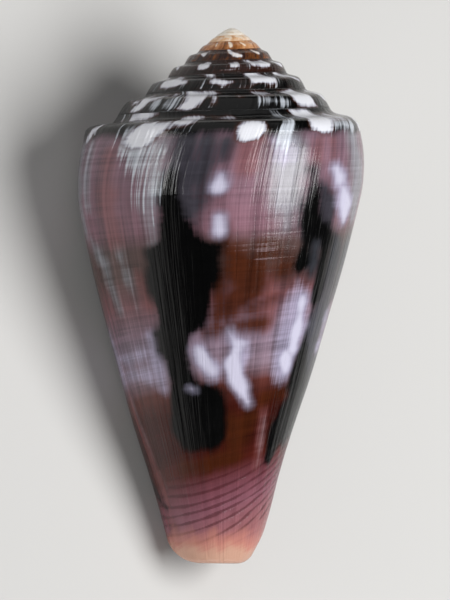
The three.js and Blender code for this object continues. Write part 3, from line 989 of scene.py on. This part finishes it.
# %% Finished shell
CREASE_DEGREES = 50
depsgraph = bpy.context.evaluated_depsgraph_get()
wound = bpy.data.meshes.new_from_object(
    shell.evaluated_get(depsgraph), preserve_all_data_layers=True, depsgraph=depsgraph
)
shell.modifiers.clear()
shell.data = wound
where = np.empty(len(wound.vertices) * 3)
wound.vertices.foreach_get("co", where)
where = where.reshape(-1, 3)
low, high = where.min(axis=0), where.max(axis=0)
apex = where[tip] - [(low[0] + high[0]) / 2, (low[1] + high[1]) / 2, low[2]]
where -= [(low[0] + high[0]) / 2, (low[1] + high[1]) / 2, low[2]]
wound.vertices.foreach_set("co", where.ravel())
wound.update()
wound.set_sharp_from_angle(angle=math.radians(CREASE_DEGREES))
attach(shell, "root")
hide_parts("shell")
print("shell box in mm", np.round((high - low) / MM, 2), "triangles",
      sum(len(p.vertices) - 2 for p in wound.polygons))

# %% [markdown]
# Floor and background.
# The shell lies on a pale matt table. A second pale plane isn't needed: the world's even
# grey carries on where the table ends.

# %% Floor
FLOOR_HALF = 1.5
floor_mesh = bpy.data.meshes.new("floor")
corners = [(-1, -1), (1, -1), (1, 1), (-1, 1)]
floor_mesh.from_pydata([(x * FLOOR_HALF, y * FLOOR_HALF, 0) for x, y in corners], [], [(0, 1, 2, 3)])
floor = bpy.data.objects.new("floor", floor_mesh)
bpy.context.scene.collection.objects.link(floor)
table_top = bpy.data.materials.new("matt_pale_table")
table_top.use_nodes = True
table_paint = table_top.node_tree
table_paint.nodes.clear()
table_finish = add(
    table_paint, "ShaderNodeBsdfPrincipled", {"Base Color": linear("#bdbcba"), "Roughness": 0.85}
)
add(table_paint, "ShaderNodeOutputMaterial", {"Surface": table_finish})
floor_mesh.materials.append(table_top)
print("floor half-width in metres", FLOOR_HALF)

# %% [markdown]
# The camera.
# The photo looks square at the shell's axis, from 98 degrees back from the lip. With the
# shell lying down, that is a view from above. The frame is 78.5 mm high at the axis, and
# a long lens keeps the outline free of perspective.

# %% Camera
VIEW_TURN_DEGREES = 98
LENS_MM = 900
SENSOR_MM = 36
FRAME_HEIGHT_MM = 78.5
LEAN_DEGREES = 0.7
FRAME_CENTRE_DOWN_AXIS_MM = 35.6
FRAME_CENTRE_LEFT_MM = 0.48
lay_down = (
    Matrix.Rotation(math.radians(SIZES["Tilt"] - 90), 3, "X")
    @ Matrix.Rotation(math.radians(SIZES["Roll"]), 3, "Z")
)


def from_axis(degrees_back):
    """Direction out from the shell's axis, so many degrees back from the lip."""
    a = math.radians(degrees_back)
    return lay_down @ Vector((math.cos(a), math.sin(a), 0))


spireward = lay_down @ Vector((0, 0, 1))
toward_camera = from_axis(VIEW_TURN_DEGREES)
across_view = spireward.cross(toward_camera)
lean = math.radians(LEAN_DEGREES)
image_right = across_view * math.cos(lean) + spireward * math.sin(lean)
image_up = spireward * math.cos(lean) - across_view * math.sin(lean)
target = (
    Vector(apex) - spireward * FRAME_CENTRE_DOWN_AXIS_MM * MM
    - across_view * FRAME_CENTRE_LEFT_MM * MM
)
distance = FRAME_HEIGHT_MM * MM * LENS_MM / SENSOR_MM
camera = bpy.data.objects.new("camera", bpy.data.cameras.new("camera"))
camera.data.lens, camera.data.sensor_width = LENS_MM, SENSOR_MM
camera.rotation_mode = "QUATERNION"
camera.location = target + toward_camera * distance
camera.rotation_quaternion = Matrix((image_right, image_up, toward_camera)).transposed().to_quaternion()
bpy.context.scene.collection.objects.link(camera)
bpy.context.scene.camera = camera
bpy.context.scene.view_settings.view_transform = "Standard"
print("camera", [round(v, 3) for v in camera.location])

# %% [markdown]
# The light.
# Two tall soft strips stand left and right of the camera, for the two long highlights that
# run down the upper body. The right strip makes its highlight; the left one is thin and weak,
# and most of the left highlight is painted into the streaks. A broad light fills in the
# spire, a smaller one the lower end, and the world gives an even, low grey.

# %% Lights
LIGHTS = {
    # degrees back from the lip, spireward degrees, distance, width, length, watts
    "left_strip": (44, 9, 0.42, 0.06, 0.28, 0.52),
    "key_strip": (150, 1, 0.45, 0.30, 0.37, 3.0),
    "spire_fill": (92, 58, 0.70, 0.95, 0.95, 1.35),
    "base_fill": (95, -60, 0.70, 0.30, 0.30, 2.0),
}
middle = Vector(apex) - spireward * 0.03
for name, (back, up, far, width, length, watts) in LIGHTS.items():
    out = from_axis(back) * math.cos(math.radians(up)) + spireward * math.sin(math.radians(up))
    lamp = bpy.data.objects.new(name, bpy.data.lights.new(name, "AREA"))
    lamp.data.shape = "ELLIPSE" if "strip" in name else "RECTANGLE"
    lamp.data.size, lamp.data.size_y, lamp.data.energy = width, length, watts
    sideways = spireward.cross(out).normalized()
    upward = out.cross(sideways)
    lamp.rotation_mode = "QUATERNION"
    lamp.rotation_quaternion = Matrix((sideways, upward, out)).transposed().to_quaternion()
    lamp.location = middle + out * far
    lamp.visible_camera = False
    bpy.context.scene.collection.objects.link(lamp)
world = bpy.data.worlds.new("pale_room")
bpy.context.scene.world = world
world.use_nodes = True
world.node_tree.nodes["Background"].inputs["Color"].default_value = linear("#c9cbd0")
world.node_tree.nodes["Background"].inputs["Strength"].default_value = 0.06
print("lights", ", ".join(LIGHTS))
